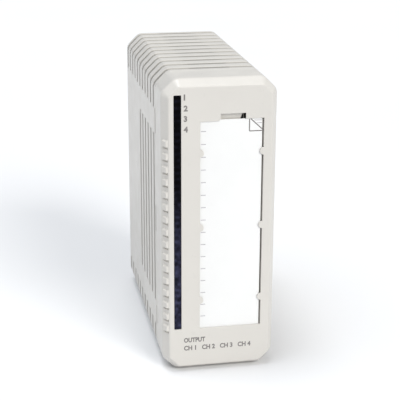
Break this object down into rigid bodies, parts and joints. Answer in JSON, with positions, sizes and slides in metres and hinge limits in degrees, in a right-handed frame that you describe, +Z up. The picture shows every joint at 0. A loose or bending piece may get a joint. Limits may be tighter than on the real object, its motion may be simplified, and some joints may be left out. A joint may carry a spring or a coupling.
{
  "type": "plc module",
  "caption": "Slim vented plug-in I/O module for a control rack: clip-fitted front with lamp window and label card, boards inside, connectors at the back.",
  "frame": {"origin": "on the surface that the module stands on, under the middle of its bounding box", "axes": "+Z up along the tall side, +X to the right as seen from the front, +Y from the front cover to the rear connectors"},
  "size_m": [0.045, 0.111, 0.119],
  "materials": {
    "case": "warm light grey, finely textured moulding",
    "window": "smoked, nearly black",
    "card": "coated white card",
    "light_guide": "clear acrylic",
    "board": "green solder resist",
    "connector": "black glass-filled moulding",
    "chip": "black epoxy",
    "ferrite": "dull dark grey ferrite",
    "capacitor_can": "satin can",
    "screw_steel": "bright zinc plate",
    "spacer_brass": "plain turned brass",
    "key": "mid grey moulding",
    "lamp": "clear epoxy lamp"
  },
  "bodies": {
    "module": {"front_cover": "case", "housing": "case", "rear_cover": "case", "indicator_window": "window", "light_guide": "light_guide", "main_board": "board", "output_board": "board", "process_connector": "connector", "bus_connector": "connector", "board_link": "connector", "board_spacer_1": "spacer_brass", "board_spacer_2": "spacer_brass", "board_spacer_3": "spacer_brass", "board_spacer_4": "spacer_brass", "board_screw_1": "screw_steel", "board_screw_2": "screw_steel", "board_screw_3": "screw_steel", "board_screw_4": "screw_steel", "rear_screw_1": "screw_steel", "rear_screw_2": "screw_steel", "coding_key_1": "key", "coding_key_2": "key", "status_led_1": "lamp", "status_led_2": "lamp", "status_led_3": "lamp", "status_led_4": "lamp", "isolation_transformer_1": "ferrite", "isolation_transformer_2": "ferrite", "isolation_transformer_3": "ferrite", "isolation_transformer_4": "ferrite", "output_driver_1": "chip", "output_driver_2": "chip", "output_driver_3": "chip", "output_driver_4": "chip", "optocoupler_1": "chip", "optocoupler_2": "chip", "optocoupler_3": "chip", "optocoupler_4": "chip", "filter_capacitor_1": "capacitor_can", "filter_capacitor_2": "capacitor_can", "filter_capacitor_3": "capacitor_can", "processor": "chip", "bus_interface_chip": "chip", "clock_crystal": "capacitor_can", "supply_converter": "chip"},
    "label": {"label_card": "card"}
  },
  "joints": [
    {"name": "label_slide", "type": "slide", "parent": "module", "child": "label", "axis": [0, 0, 1], "range_m": [0, 0.002]}
  ]
}
